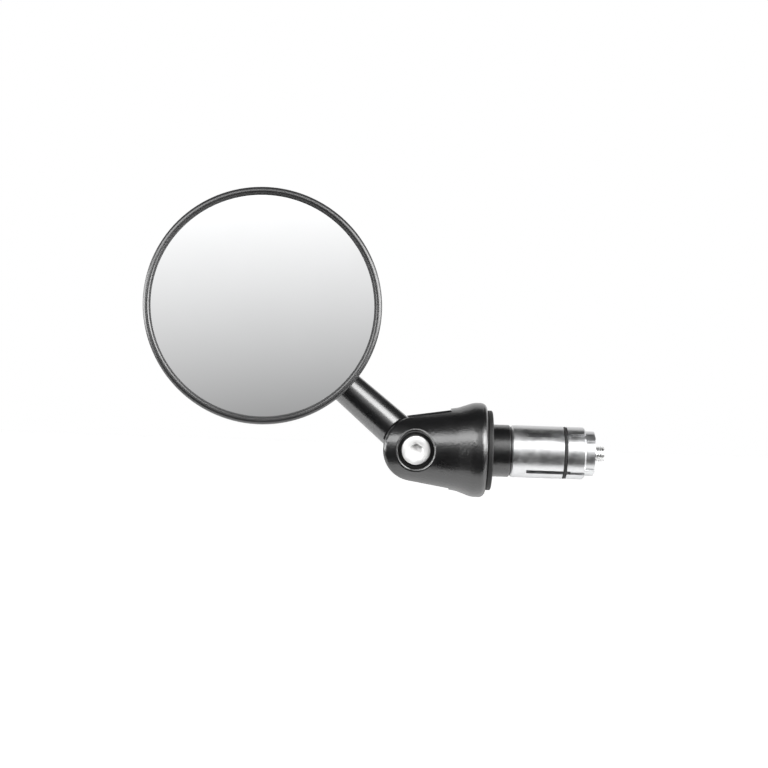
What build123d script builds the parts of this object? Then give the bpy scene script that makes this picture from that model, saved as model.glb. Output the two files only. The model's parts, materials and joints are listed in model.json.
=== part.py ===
from build123d import *
import os
from math import asin, atan2, cos, hypot, radians, sin, sqrt, tan

# Bar end mirror: a round convex mirror on a folding stem, held in the end of a handlebar
# by an expanding plug. Sizes are in millimetres. The origin is the centre of the bar's end
# face, +X runs into the bar, +Z is up and the mirror looks towards -Y.

# Bar end body
FLANGE_DIAMETER = 30.8
FLANGE_LENGTH = 4.3
FLANGE_EDGE_RADIUS = 2.1
FLARE_LENGTH = 5.2
FLARE_RISE = 1.8
FLARE_RADIUS = 7.0
NOSE_RADIUS = 10.6
NOSE_EDGE_RADIUS = 1.5
PIVOT_SETBACK = 22.9
BAR_WASHER_THICKNESS = 1.8
BAR_WASHER_DIAMETER = 26.0
BAR_WASHER_EDGE_RADIUS = 0.5
BAR_WASHER_FIT = 0.1
RELIEF_DEPTH = 0.3
SLOT_EDGE_CHAMFER = 0.3

# Stem
FOLD_ANGLE = 39.6
STEM_REACH = 67.0
STEM_ROOT_DIAMETER = 12.3
STEM_TAPER_ANGLE = 1.4
STEM_SHOULDER_GAP = 0.5
TONGUE_THICKNESS = 7.6
TONGUE_RADIUS = 10.0
TONGUE_FLOOR_GAP = 1.2
BUSH_WALL = 1.0
BUSH_FIT = 0.03

# Pivot
PIVOT_DIAMETER = 5.0
PIVOT_RUNNING_FIT = 0.05
PIVOT_HOLE_CLEARANCE = 0.1
PIVOT_HEAD_DIAMETER = 9.3
PIVOT_HEAD_HEIGHT = 3.0
PIVOT_HEAD_CHAMFER = 0.2
PIVOT_SEAT_FLOOR = 1.7
PIVOT_SEAT_CLEARANCE = 1.15
PIVOT_SEAT_EDGE = 0.8
PIVOT_THREAD_FIT = 0.05
PIVOT_TIP = 0.9
PIVOT_KEY_SIZE = 4.0
PIVOT_KEY_DEPTH = 1.8
NUT_SIZE = 8.0
NUT_HEIGHT = 2.7
NUT_POCKET_CLEARANCE = 0.1
NUT_CHAMFER_ANGLE = 30.0
FRICTION_WASHER_THICKNESS = 0.6
FRICTION_WASHER_DIAMETER = 17.2
FACE_GAP = 0.05

# Ball joint behind the mirror
BALL_DIAMETER = 11.0
BALL_CLEARANCE = 0.08
NECK_DIAMETER = 6.4
NECK_TAPER_LENGTH = 6.0
NECK_CORNER_RADIUS = 4.0
NECK_COLLAR_GAP = 1.2
HEAD_TILT_LIMIT = 10.0
TILT_MARGIN = 2.0
HEAD_SWIVEL = 10.0
SEAT_WALL = 1.4
SEAT_SPLIT = 0.8
SEAT_BACKING = 2.0
SEAT_LIP = 3.4
SEAT_FLARE_LENGTH = 1.6
SOCKET_CLEARANCE = 0.1
SPRING_HEIGHT = 1.2
SPRING_THICKNESS = 0.6
SPRING_HOLE_DIAMETER = 6.0
GLAND_THREAD_STEP = 0.5
GLAND_THREAD_LENGTH = 4.3
GLAND_THREAD_FIT = 0.03
GLAND_COLLAR_LENGTH = 3.0
GLAND_COLLAR_LIP = 0.9
GLAND_EDGE_CHAMFER = 0.4
GLAND_NOTCH_COUNT = 8
GLAND_NOTCH_WIDTH = 1.8
GLAND_NOTCH_DEPTH = 0.7
POD_WALL = 2.1
POD_END_WALL = 5.2
POD_FOOT_RADIUS = 1.2

# Mirror head
HEAD_DIAMETER = 75.0
RIM_WALL = 1.3
RIM_EDGE_SHARE = 0.46
BACK_EDGE_RADIUS = 2.4
DOME_RISE = 4.2
SHELL_WALL = 2.2
COLLAR_DOME_GAP = 0.3
GLASS_THICKNESS = 2.0
GLASS_CURVE_RADIUS = 800.0
GLASS_EDGE_GAP = 0.2
TAPE_THICKNESS = 1.0
TAPE_WIDTH = 2.8
LEDGE_MARGIN = 0.5
LEDGE_STEP = 0.4
BEZEL_WIDTH = 0.95
BEZEL_HEIGHT = 1.1
BEZEL_FIT = 0.05
BEZEL_EDGE_SHARE = 0.45
BEZEL_SETBACK = 0.05

# Expanding plug inside the bar
PLUG_DIAMETER = 17.0
SPIGOT_LENGTH = 6.0
PLUG_EDGE_CHAMFER = 0.5
SLEEVE_GAP = 0.2
SLEEVE_LENGTH = 24.0
SLEEVE_WALL = 2.9
SLEEVE_TAPER_LENGTH = 11.0
SLEEVE_MOUTH_WALL = 1.1
SLEEVE_SOLID_LENGTH = 5.0
SLEEVE_SLOT_COUNT = 4
SLEEVE_SLOT_WIDTH = 1.6
SLEEVE_SLOT_TURN = 45.0
RING_CORD_DIAMETER = 1.0
RING_GROOVE_CLEARANCE = 0.1
RING_SETBACK = 6.5
CONE_GAP = 0.12
CONE_RIM_LENGTH = 3.0
CONE_KEY_LENGTH = 4.6
CONE_KEY_CLEARANCE = 0.15
CONE_KEY_DROP = 0.6
DRAW_BOLT_DIAMETER = 5.0
DRAW_BOLT_LENGTH = 45.0
DRAW_HOLE_CLEARANCE = 0.2
DRAW_THREAD_FIT = 0.05
DRAW_HEAD_DIAMETER = 8.5
DRAW_HEAD_HEIGHT = 5.0
DRAW_HEAD_CHAMFER = 0.4
DRAW_HEAD_SINK = 0.4
DRAW_HEAD_CLEARANCE = 0.3
DRAW_KEY_SIZE = 4.0
DRAW_KEY_DEPTH = 2.5
DRAW_WASHER_THICKNESS = 1.0
DRAW_WASHER_LIP = 0.15
SCREW_TIP_CHAMFER = 0.5

# Reach of a cut that has to pass right through a piece
THROUGH = 2 * FLANGE_DIAMETER

# Places along the bar
flange_face = -BAR_WASHER_THICKNESS
pivot_x = flange_face - PIVOT_SETBACK
flare_start = flange_face - FLANGE_LENGTH - FLARE_LENGTH
slot_width = TONGUE_THICKNESS + 2 * FRICTION_WASHER_THICKNESS + 4 * FACE_GAP
slot_floor = pivot_x + TONGUE_RADIUS + TONGUE_FLOOR_GAP
draw_head_start = slot_floor + DRAW_HEAD_SINK
draw_washer_start = draw_head_start + DRAW_HEAD_HEIGHT
draw_seat = draw_washer_start + DRAW_WASHER_THICKNESS
sleeve_start = SPIGOT_LENGTH + SLEEVE_GAP
sleeve_end = sleeve_start + SLEEVE_LENGTH
sleeve_taper_start = sleeve_end - SLEEVE_TAPER_LENGTH

# Radii shared by pieces that fit each other
plug_radius = PLUG_DIAMETER / 2
relief_radius = plug_radius - RELIEF_DEPTH
flange_radius = FLANGE_DIAMETER / 2
pivot_radius = PIVOT_DIAMETER / 2
pivot_hole_radius = pivot_radius + PIVOT_HOLE_CLEARANCE
bush_bore_radius = pivot_radius + PIVOT_RUNNING_FIT
bush_radius = bush_bore_radius + BUSH_WALL
draw_radius = DRAW_BOLT_DIAMETER / 2
draw_hole_radius = draw_radius + DRAW_HOLE_CLEARANCE
draw_head_bore_radius = DRAW_HEAD_DIAMETER / 2 + DRAW_HEAD_CLEARANCE
ball_radius = BALL_DIAMETER / 2
neck_radius = NECK_DIAMETER / 2
pocket_radius = ball_radius + BALL_CLEARANCE
seat_radius = ball_radius + SEAT_WALL
socket_radius = seat_radius + SOCKET_CLEARANCE
thread_radius = socket_radius + GLAND_THREAD_STEP
collar_radius = thread_radius + GLAND_COLLAR_LIP
pod_radius = thread_radius + POD_WALL
head_radius = HEAD_DIAMETER / 2
recess_radius = head_radius - RIM_WALL
glass_radius = recess_radius - GLASS_EDGE_GAP
bezel_radius = recess_radius - BEZEL_FIT
bezel_inner_radius = bezel_radius - BEZEL_WIDTH

# The slot's edges leave the round nose at a tangent, on a cone that ends at the foot of the flare
half_slot = slot_width / 2
cone_foot_radius = flange_radius - FLARE_RISE
cone_run = flare_start - pivot_x
cone_rise = sqrt(cone_foot_radius**2 - half_slot**2)
edge_angle = atan2(cone_rise, cone_run) - asin(NOSE_RADIUS / hypot(cone_run, cone_rise))
cone_pivot_radius = hypot(NOSE_RADIUS / cos(edge_angle), half_slot)

# Planes and axes: the pivot looks to the front, the head is turned about the stem
pivot = Vector(pivot_x, 0, 0)
pivot_plane = Plane(origin=pivot, x_dir=(1, 0, 0), z_dir=(0, -1, 0))
stem_direction = Vector(-cos(radians(FOLD_ANGLE)), 0, sin(radians(FOLD_ANGLE)))
stem_axis = Axis(pivot, stem_direction)
stem_section = Plane(origin=pivot, x_dir=stem_direction, z_dir=(0, -1, 0))
ball_centre = pivot + stem_direction * STEM_REACH
head_normal = Vector(0, -1, 0).rotate(Axis((0, 0, 0), stem_direction), HEAD_SWIVEL)
head_axis = Axis(ball_centre, head_normal)
head_section = Plane(origin=ball_centre, x_dir=stem_direction, z_dir=stem_direction.cross(head_normal))
head_plane = Plane(origin=ball_centre, x_dir=stem_direction, z_dir=head_normal)
socket_direction = stem_direction * -1
socket_axis = Axis(ball_centre, socket_direction)
socket_section = Plane(origin=ball_centre, x_dir=socket_direction, z_dir=socket_direction.cross(head_normal))

# Distances along the socket, from the ball's centre towards the stem
seat_lip_radius = sqrt(pocket_radius**2 - SEAT_LIP**2)
seat_back = -(pocket_radius + SEAT_BACKING)
spring_back = seat_back - FACE_GAP - SPRING_HEIGHT
socket_floor = spring_back - FACE_GAP
seat_front = SEAT_LIP + SEAT_FLARE_LENGTH
gland_start = seat_front + FACE_GAP
pod_mouth = gland_start + GLAND_THREAD_LENGTH
collar_start = pod_mouth + FACE_GAP
collar_end = collar_start + GLAND_COLLAR_LENGTH
pod_round_centre = socket_floor - POD_END_WALL + pod_radius
tilt_slope = tan(radians(HEAD_TILT_LIMIT + TILT_MARGIN))
neck_start = collar_end + NECK_COLLAR_GAP
taper_start = neck_start + NECK_TAPER_LENGTH

# Heights in the head, from the ball's centre towards the glass
dome_height = collar_radius + COLLAR_DOME_GAP
rim_back = dome_height + DOME_RISE
dome_radius = (head_radius**2 + DOME_RISE**2) / (2 * DOME_RISE)
glass_sag = GLASS_CURVE_RADIUS - sqrt(GLASS_CURVE_RADIUS**2 - glass_radius**2)
tape_radius = glass_radius - TAPE_WIDTH
ledge_radius = tape_radius - LEDGE_MARGIN
pedestal_height = dome_height + SHELL_WALL / 2


def cone_radius_at(x):
    """Radius of the body's cone at a place along the bar."""
    return cone_pivot_radius + (cone_foot_radius - cone_pivot_radius) * (x - pivot_x) / cone_run


def dome_at(radius):
    """Height of the outside of the head's back at a distance from its middle."""
    return dome_height + dome_radius - sqrt(dome_radius**2 - radius**2)


def glass_at(radius, edge_height):
    """Height of a face of the bent glass, given its height at the glass's edge."""
    fall = GLASS_CURVE_RADIUS - sqrt(GLASS_CURVE_RADIUS**2 - radius**2)
    return edge_height + glass_sag - fall


def sleeve_bore_at(x):
    """Radius of the sleeve's tapered mouth at a place along the bar."""
    mouth = plug_radius - SLEEVE_MOUTH_WALL
    bore = plug_radius - SLEEVE_WALL
    return bore + (mouth - bore) * (x - sleeve_taper_start) / SLEEVE_TAPER_LENGTH


def opening_at(distance):
    """Radius of the socket's flared mouth at a distance from the ball's centre."""
    return seat_lip_radius + (distance - SEAT_LIP) * tilt_slope


ledge_height = dome_at(ledge_radius) + SHELL_WALL + LEDGE_STEP
glass_back_edge = ledge_height + TAPE_THICKNESS
glass_front_edge = glass_back_edge + GLASS_THICKNESS
rim_front = glass_front_edge + BEZEL_HEIGHT


# Cutter for the chamfer along one side of the slot, wider towards the slot's wall
inset_radius = NOSE_RADIUS - SLOT_EDGE_CHAMFER
inset_x = -inset_radius * sin(edge_angle)
inset_z = inset_radius * cos(edge_angle)
cheek_length = slot_floor - pivot_x
cheek_z = inset_z + (cheek_length - inset_x) * tan(edge_angle)
with BuildPart() as slot_edge_cut:
    with BuildSketch(pivot_plane.offset(half_slot)):
        with Locations((cheek_length, 0)):
            Rectangle(THROUGH, THROUGH, align=(Align.MAX, Align.CENTER))
    extrude(amount=SLOT_EDGE_CHAMFER)
    with BuildSketch(pivot_plane.offset(half_slot)):
        with BuildLine():
            ThreePointArc((inset_x, inset_z), (-inset_radius, 0), (inset_x, -inset_z))
            Polyline(
                (inset_x, -inset_z),
                (cheek_length, -cheek_z),
                (cheek_length, cheek_z),
                (inset_x, inset_z),
            )
        make_face()
    extrude(amount=SLOT_EDGE_CHAMFER, taper=-45, mode=Mode.SUBTRACT)

# Bar end body: a turned cone with a round, slotted nose, a flange and a spigot
nose_end = pivot_x - NOSE_RADIUS
nose_tangent = -NOSE_RADIUS * sin(edge_angle)
pivot_seat = half_slot + PIVOT_SEAT_FLOOR
pivot_seat_radius = PIVOT_HEAD_DIAMETER / 2 + PIVOT_SEAT_CLEARANCE
with BuildPart() as bar_end_body:
    with BuildSketch(Plane.XZ) as body_profile:
        with BuildLine():
            Polyline(
                (nose_end, 0),
                (nose_end, cone_radius_at(nose_end)),
                (flare_start, cone_foot_radius),
                (flange_face - FLANGE_LENGTH, flange_radius),
                (flange_face, flange_radius),
                (flange_face, relief_radius),
                (0, relief_radius),
                (0, plug_radius),
                (SPIGOT_LENGTH, plug_radius),
                (SPIGOT_LENGTH, 0),
                close=True,
            )
        make_face()
        flare_corners = body_profile.vertices().sort_by(Axis.X)[2:4]
        fillet(flare_corners, FLARE_RADIUS)
        flange_corner = body_profile.vertices().group_by(Axis.Y)[-1].sort_by(Axis.X)[-1]
        fillet(flange_corner, FLANGE_EDGE_RADIUS)
        spigot_corner = body_profile.vertices().group_by(Axis.X)[-1].sort_by(Axis.Y)[-1]
        chamfer(spigot_corner, PLUG_EDGE_CHAMFER)
    revolve(axis=Axis.X)
    with BuildSketch(pivot_plane):
        Circle(NOSE_RADIUS)
        with Locations((nose_tangent, 0)):
            Rectangle(THROUGH, THROUGH, align=(Align.MIN, Align.CENTER))
    extrude(amount=THROUGH, both=True, mode=Mode.INTERSECT)
    with BuildSketch(Plane.XY):
        with Locations((slot_floor, 0)):
            Rectangle(THROUGH, slot_width, align=(Align.MAX, Align.CENTER))
    extrude(amount=THROUGH, both=True, mode=Mode.SUBTRACT)
    nose_faces = bar_end_body.faces().filter_by(GeomType.CYLINDER).filter_by(
        lambda face: abs(face.radius - NOSE_RADIUS) < FACE_GAP
    )
    nose_edges = nose_faces.edges().filter_by(lambda edge: abs(edge.center().Y) > half_slot + FACE_GAP)
    fillet(nose_edges, NOSE_EDGE_RADIUS)
    add(slot_edge_cut.part, mode=Mode.SUBTRACT)
    add(slot_edge_cut.part.mirror(Plane.XZ), mode=Mode.SUBTRACT)
    with Locations(pivot_plane.offset(flange_radius)):
        CounterBoreHole(pivot_hole_radius, pivot_seat_radius, flange_radius - pivot_seat)
    with BuildSketch(pivot_plane.offset(-pivot_seat)):
        RegularPolygon(NUT_SIZE / 2 + NUT_POCKET_CLEARANCE, 6, major_radius=False)
    extrude(amount=-THROUGH, mode=Mode.SUBTRACT)
    with Locations(Plane(origin=(slot_floor, 0, 0), z_dir=(-1, 0, 0))):
        CounterBoreHole(draw_hole_radius, draw_head_bore_radius, draw_seat - slot_floor)
    seat_walls = bar_end_body.faces().filter_by(GeomType.CYLINDER).filter_by(
        lambda face: abs(face.radius - pivot_seat_radius) < FACE_GAP
    )
    mouth_edges = seat_walls.edges().filter_by(lambda edge: edge.center().Y < -pivot_seat - FACE_GAP)
    fillet(mouth_edges.filter_by(GeomType.LINE, reverse=True), PIVOT_SEAT_EDGE)

# Rubber washer between the flange and the end of the bar
washer_bore_radius = plug_radius + BAR_WASHER_FIT
with BuildPart() as bar_end_washer:
    with BuildSketch(Plane.XZ) as washer_profile:
        with Locations((flange_face, washer_bore_radius)):
            Rectangle(
                BAR_WASHER_THICKNESS,
                BAR_WASHER_DIAMETER / 2 - washer_bore_radius,
                align=(Align.MIN, Align.MIN),
            )
        fillet(washer_profile.vertices().group_by(Axis.Y)[-1], BAR_WASHER_EDGE_RADIUS)
    revolve(axis=Axis.X)

# Stem: tapered rod, neck and ball turned in one piece, with a flat tongue for the pivot
stem_root_radius = STEM_ROOT_DIAMETER / 2
taper_distance = STEM_REACH - taper_start
taper_radius = stem_root_radius - taper_distance * tan(radians(STEM_TAPER_ANGLE))
neck_end = STEM_REACH - sqrt(ball_radius**2 - neck_radius**2)
with BuildPart() as mirror_stem:
    with BuildSketch(stem_section) as stem_profile:
        with BuildLine():
            Polyline(
                (STEM_REACH + ball_radius, 0),
                (0, 0),
                (0, stem_root_radius),
                (taper_distance, taper_radius),
                (STEM_REACH - neck_start, neck_radius),
                (neck_end, neck_radius),
            )
            ThreePointArc(
                (neck_end, neck_radius), (STEM_REACH, ball_radius), (STEM_REACH + ball_radius, 0)
            )
        make_face()
        neck_corners = stem_profile.vertices().sort_by(Axis.X)[2:4]
        fillet(neck_corners, NECK_CORNER_RADIUS)
    revolve(axis=stem_axis)
    for side in (1, -1):
        with BuildSketch(pivot_plane.offset(side * TONGUE_THICKNESS / 2)):
            Circle(NOSE_RADIUS + STEM_SHOULDER_GAP)
        extrude(amount=side * THROUGH, mode=Mode.SUBTRACT)
    with BuildSketch(pivot_plane):
        Circle(TONGUE_RADIUS)
    extrude(amount=TONGUE_THICKNESS / 2, both=True)
    with BuildSketch(pivot_plane):
        Circle(bush_radius + BUSH_FIT)
    extrude(amount=THROUGH, both=True, mode=Mode.SUBTRACT)

# Pivot: bush, friction washers, screw and nut
with BuildPart() as pivot_bush:
    with BuildSketch(pivot_plane):
        Circle(bush_radius)
        Circle(bush_bore_radius, mode=Mode.SUBTRACT)
    extrude(amount=TONGUE_THICKNESS / 2, both=True)

washer_offset = TONGUE_THICKNESS / 2 + FACE_GAP
with BuildPart() as friction_washer_front:
    with BuildSketch(pivot_plane.offset(washer_offset)):
        Circle(FRICTION_WASHER_DIAMETER / 2)
        Circle(pivot_hole_radius, mode=Mode.SUBTRACT)
    extrude(amount=FRICTION_WASHER_THICKNESS)

with BuildPart() as friction_washer_rear:
    with BuildSketch(pivot_plane.offset(-washer_offset)):
        Circle(FRICTION_WASHER_DIAMETER / 2)
        Circle(pivot_hole_radius, mode=Mode.SUBTRACT)
    extrude(amount=-FRICTION_WASHER_THICKNESS)

with BuildPart() as pivot_screw:
    with BuildSketch(pivot_plane.offset(pivot_seat)):
        Circle(PIVOT_HEAD_DIAMETER / 2)
    extrude(amount=PIVOT_HEAD_HEIGHT)
    chamfer(pivot_screw.edges().sort_by(Axis.Y)[0], PIVOT_HEAD_CHAMFER)
    with BuildSketch(pivot_plane.offset(pivot_seat)):
        Circle(pivot_radius)
    extrude(amount=-(2 * pivot_seat + NUT_HEIGHT + PIVOT_TIP))
    chamfer(pivot_screw.edges().sort_by(Axis.Y)[-1], SCREW_TIP_CHAMFER)
    with BuildSketch(pivot_plane.offset(pivot_seat + PIVOT_HEAD_HEIGHT)):
        RegularPolygon(PIVOT_KEY_SIZE / 2, 6, major_radius=False)
    extrude(amount=-PIVOT_KEY_DEPTH, mode=Mode.SUBTRACT)

with BuildPart() as pivot_nut:
    with BuildSketch(pivot_plane.offset(-pivot_seat)):
        RegularPolygon(NUT_SIZE / 2, 6, major_radius=False)
        Circle(pivot_radius + PIVOT_THREAD_FIT, mode=Mode.SUBTRACT)
    extrude(amount=-NUT_HEIGHT)
    with Locations(pivot_plane.offset(-pivot_seat)):
        Cone(
            NUT_SIZE / 2 + NUT_HEIGHT / tan(radians(NUT_CHAMFER_ANGLE)),
            NUT_SIZE / 2,
            NUT_HEIGHT,
            align=(Align.CENTER, Align.CENTER, Align.MIN),
            rotation=(180, 0, 0),
            mode=Mode.INTERSECT,
        )

# Mirror housing: a shallow cup with a rim, and on its back the pod that holds the ball
with BuildPart() as mirror_housing:
    with BuildSketch(head_section) as housing_profile:
        with BuildLine():
            ThreePointArc(
                (0, dome_height), (head_radius / 2, dome_at(head_radius / 2)), (head_radius, rim_back)
            )
            Polyline(
                (head_radius, rim_back),
                (head_radius, rim_front),
                (recess_radius, rim_front),
                (recess_radius, ledge_height),
                (ledge_radius, ledge_height),
                (ledge_radius, dome_at(ledge_radius) + SHELL_WALL),
            )
            ThreePointArc(
                (ledge_radius, dome_at(ledge_radius) + SHELL_WALL),
                (ledge_radius / 2, dome_at(ledge_radius / 2) + SHELL_WALL),
                (0, dome_height + SHELL_WALL),
            )
            Line((0, dome_height + SHELL_WALL), (0, dome_height))
        make_face()
        rim_corners = housing_profile.vertices().group_by(Axis.Y)[-1]
        fillet(rim_corners, RIM_EDGE_SHARE * RIM_WALL)
        back_corner = housing_profile.vertices().group_by(Axis.X)[-1].sort_by(Axis.Y)[0]
        fillet(back_corner, BACK_EDGE_RADIUS)
    revolve(axis=head_axis)
    with BuildSketch(socket_section):
        with BuildLine():
            RadiusArc(
                (pod_round_centre - pod_radius, 0), (pod_round_centre, pod_radius), pod_radius
            )
            Polyline(
                (pod_round_centre, pod_radius),
                (pod_mouth, pod_radius),
                (pod_mouth, 0),
                (pod_round_centre - pod_radius, 0),
            )
        make_face()
    revolve(axis=socket_axis)
    with BuildSketch(head_plane):
        with Locations((-pod_round_centre, 0)):
            Circle(pod_radius)
            Rectangle(
                pod_mouth - pod_round_centre, 2 * pod_radius, align=(Align.MAX, Align.CENTER)
            )
    extrude(amount=pedestal_height)
    upper_edges = mirror_housing.edges().filter_by(
        lambda edge: (edge @ 0.5 - ball_centre).dot(head_normal) > dome_height - FACE_GAP
    )
    inner_edges = upper_edges.filter_by(
        lambda edge: (edge @ 0.5 - ball_centre).cross(head_normal).length < head_radius / 2
    )
    foot_edges = inner_edges.filter_by(
        lambda edge: (edge @ 0.5 - ball_centre).dot(socket_direction) < pod_mouth - FACE_GAP
    )
    fillet(foot_edges, POD_FOOT_RADIUS)
    with BuildSketch(socket_section):
        with BuildLine():
            Polyline(
                (socket_floor, 0),
                (socket_floor, socket_radius),
                (gland_start, socket_radius),
                (gland_start, thread_radius),
                (pod_mouth, thread_radius),
                (pod_mouth, 0),
                close=True,
            )
        make_face()
    revolve(axis=socket_axis, mode=Mode.SUBTRACT)

# Ball joint: two seats, the spring behind them and the gland nut that closes the socket
split_radius = sqrt(pocket_radius**2 - (SEAT_SPLIT / 2) ** 2)
pocket_slant = pocket_radius * sqrt(0.5)
with BuildPart() as inner_ball_seat:
    with BuildSketch(socket_section):
        with BuildLine():
            Polyline(
                (-pocket_radius, 0),
                (seat_back, 0),
                (seat_back, seat_radius),
                (-SEAT_SPLIT / 2, seat_radius),
                (-SEAT_SPLIT / 2, split_radius),
            )
            ThreePointArc(
                (-SEAT_SPLIT / 2, split_radius), (-pocket_slant, pocket_slant), (-pocket_radius, 0)
            )
        make_face()
    revolve(axis=socket_axis)

lip_middle = (SEAT_SPLIT / 2 + SEAT_LIP) / 2
with BuildPart() as outer_ball_seat:
    with BuildSketch(socket_section):
        with BuildLine():
            Polyline(
                (SEAT_SPLIT / 2, split_radius),
                (SEAT_SPLIT / 2, seat_radius),
                (seat_front, seat_radius),
                (seat_front, opening_at(seat_front)),
                (SEAT_LIP, seat_lip_radius),
            )
            ThreePointArc(
                (SEAT_LIP, seat_lip_radius),
                (lip_middle, sqrt(pocket_radius**2 - lip_middle**2)),
                (SEAT_SPLIT / 2, split_radius),
            )
        make_face()
    revolve(axis=socket_axis)

with BuildPart() as seat_spring:
    with BuildSketch(socket_section):
        with BuildLine():
            Polyline(
                (spring_back, seat_radius),
                (spring_back + SPRING_THICKNESS, seat_radius),
                (spring_back + SPRING_HEIGHT, SPRING_HOLE_DIAMETER / 2),
                (spring_back + SPRING_HEIGHT - SPRING_THICKNESS, SPRING_HOLE_DIAMETER / 2),
                close=True,
            )
        make_face()
    revolve(axis=socket_axis)

gland_thread_radius = thread_radius - GLAND_THREAD_FIT
with BuildPart() as gland_nut:
    with BuildSketch(socket_section) as gland_profile:
        with BuildLine():
            Polyline(
                (gland_start, opening_at(gland_start)),
                (gland_start, gland_thread_radius),
                (collar_start, gland_thread_radius),
                (collar_start, collar_radius),
                (collar_end, collar_radius),
                (collar_end, opening_at(collar_end)),
                close=True,
            )
        make_face()
        collar_corner = gland_profile.vertices().group_by(Axis.X)[-1].sort_by(Axis.Y)[-1]
        chamfer(collar_corner, GLAND_EDGE_CHAMFER)
    revolve(axis=socket_axis)
    collar_plane = Plane(origin=ball_centre + socket_direction * collar_start, z_dir=socket_direction)
    with BuildSketch(collar_plane):
        with PolarLocations(collar_radius, GLAND_NOTCH_COUNT):
            Rectangle(2 * GLAND_NOTCH_DEPTH, GLAND_NOTCH_WIDTH)
    extrude(amount=GLAND_COLLAR_LENGTH, mode=Mode.SUBTRACT)

# Mirror glass, bent to a shallow dome, on a ring of foam tape and under the bezel
with BuildPart() as mirror_glass:
    with BuildSketch(head_section):
        with BuildLine():
            ThreePointArc(
                (0, glass_at(0, glass_front_edge)),
                (glass_radius / 2, glass_at(glass_radius / 2, glass_front_edge)),
                (glass_radius, glass_front_edge),
            )
            Line((glass_radius, glass_front_edge), (glass_radius, glass_back_edge))
            ThreePointArc(
                (glass_radius, glass_back_edge),
                (glass_radius / 2, glass_at(glass_radius / 2, glass_back_edge)),
                (0, glass_at(0, glass_back_edge)),
            )
            Line((0, glass_at(0, glass_back_edge)), (0, glass_at(0, glass_front_edge)))
        make_face()
    revolve(axis=head_axis)

with BuildPart() as glass_tape_ring:
    with BuildSketch(head_section):
        with BuildLine():
            Polyline(
                (tape_radius, ledge_height),
                (glass_radius, ledge_height),
                (glass_radius, glass_back_edge - FACE_GAP),
                (tape_radius, glass_at(tape_radius, glass_back_edge - FACE_GAP)),
                close=True,
            )
        make_face()
    revolve(axis=head_axis)

bezel_back = glass_at(bezel_inner_radius, glass_front_edge) + FACE_GAP
bezel_front = rim_front - BEZEL_SETBACK
with BuildPart() as bezel_ring:
    with BuildSketch(head_section) as bezel_profile:
        with Locations((bezel_inner_radius, bezel_back)):
            Rectangle(BEZEL_WIDTH, bezel_front - bezel_back, align=(Align.MIN, Align.MIN))
        fillet(bezel_profile.vertices().group_by(Axis.Y)[-1], BEZEL_EDGE_SHARE * BEZEL_WIDTH)
    revolve(axis=head_axis)

# Expanding plug: slotted sleeve with a tapered mouth, its rubber ring, the cone nut and the bolt
sleeve_bore_radius = plug_radius - SLEEVE_WALL
ring_place = sleeve_end - RING_SETBACK
ring_radius = plug_radius - RING_CORD_DIAMETER / 2
with BuildPart() as expander_sleeve:
    with BuildSketch(Plane.XZ) as sleeve_profile:
        with BuildLine():
            Polyline(
                (sleeve_start, sleeve_bore_radius),
                (sleeve_start, plug_radius),
                (sleeve_end, plug_radius),
                (sleeve_end, plug_radius - SLEEVE_MOUTH_WALL),
                (sleeve_taper_start, sleeve_bore_radius),
                close=True,
            )
        make_face()
        sleeve_corners = sleeve_profile.vertices().group_by(Axis.Y)[-1]
        chamfer(sleeve_corners, PLUG_EDGE_CHAMFER)
        with Locations((ring_place, plug_radius)):
            Rectangle(
                RING_CORD_DIAMETER + 2 * RING_GROOVE_CLEARANCE,
                2 * (RING_CORD_DIAMETER + RING_GROOVE_CLEARANCE),
                mode=Mode.SUBTRACT,
            )
    revolve(axis=Axis.X)
    with BuildSketch(Plane.YZ.offset(sleeve_start + SLEEVE_SOLID_LENGTH)):
        with PolarLocations(plug_radius, SLEEVE_SLOT_COUNT, SLEEVE_SLOT_TURN):
            Rectangle(2 * plug_radius, SLEEVE_SLOT_WIDTH)
    extrude(amount=SLEEVE_LENGTH, mode=Mode.SUBTRACT)

with BuildPart() as sleeve_ring:
    with BuildSketch(Plane.XZ):
        with Locations((ring_place, ring_radius)):
            Circle(RING_CORD_DIAMETER / 2)
    revolve(axis=Axis.X)

cone_end = sleeve_end + CONE_RIM_LENGTH
cone_rim_radius = plug_radius - SLEEVE_MOUTH_WALL - CONE_GAP
key_top = plug_radius - CONE_KEY_DROP
cone_bore_radius = draw_radius + DRAW_THREAD_FIT
with BuildPart() as cone_nut:
    with BuildSketch(Plane.XZ):
        with BuildLine():
            Polyline(
                (sleeve_taper_start, cone_bore_radius),
                (sleeve_taper_start, sleeve_bore_radius - CONE_GAP),
                (sleeve_end, cone_rim_radius),
                (cone_end, cone_rim_radius),
                (cone_end, cone_bore_radius),
                close=True,
            )
        make_face()
    revolve(axis=Axis.X)
    with BuildSketch(Plane.YZ.offset(sleeve_end - CONE_KEY_LENGTH)):
        with PolarLocations(key_top, SLEEVE_SLOT_COUNT, SLEEVE_SLOT_TURN):
            Rectangle(
                key_top - cone_bore_radius,
                SLEEVE_SLOT_WIDTH - 2 * CONE_KEY_CLEARANCE,
                align=(Align.MAX, Align.CENTER),
            )
    extrude(amount=CONE_KEY_LENGTH + CONE_RIM_LENGTH)
    with BuildSketch(Plane.YZ.offset(sleeve_taper_start)):
        Circle(cone_bore_radius)
    extrude(amount=cone_end - sleeve_taper_start, mode=Mode.SUBTRACT)

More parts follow.
